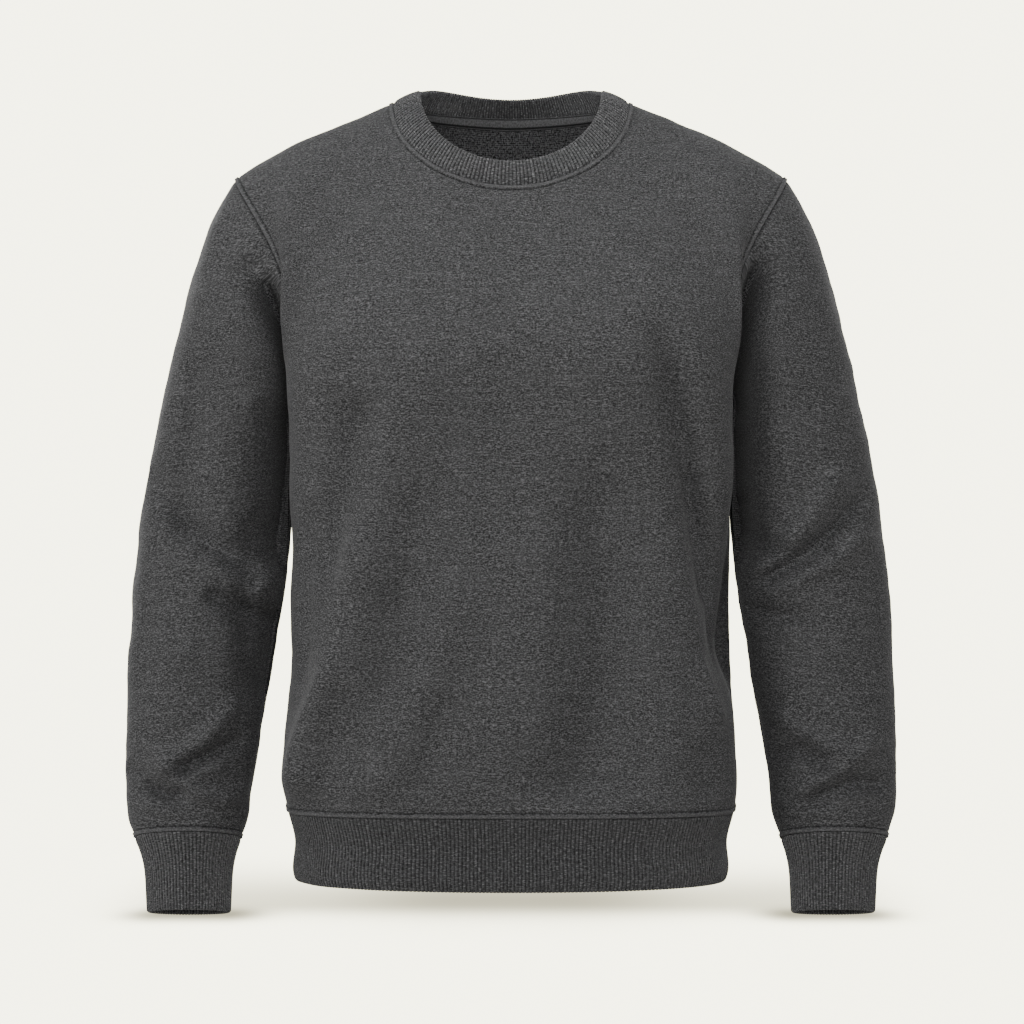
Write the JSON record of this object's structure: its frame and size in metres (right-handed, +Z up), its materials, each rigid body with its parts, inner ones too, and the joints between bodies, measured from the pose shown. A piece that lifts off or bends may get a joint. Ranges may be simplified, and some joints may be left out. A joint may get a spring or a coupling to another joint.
{
  "type": "crewneck sweatshirt",
  "caption": "Hollow long-sleeved crewneck sweatshirt, filled out as worn, with set-in sleeves and a ribbed collar, cuffs and hem band.",
  "frame": {"origin": "on the centre line at the height of the high shoulder points, where collar and shoulder seams meet, midway between front and back", "axes": "+Z up the garment, the chest faces -Y, +X to the wearer's left"},
  "size_m": [0.693, 0.2603, 0.7427],
  "materials": {
    "fleece": "charcoal heather jersey with a brushed inside",
    "rib": "charcoal heather rib knit",
    "tape": "herringbone neck tape"
  },
  "bodies": {
    "root": {"front_panel": "fleece", "back_panel": "fleece", "sleeve_right": "fleece", "sleeve_left": "fleece", "neck_rib": "rib", "cuff_right": "rib", "cuff_left": "rib", "hem_rib": "rib", "neck_tape": "tape"}
  },
  "joints": []
}
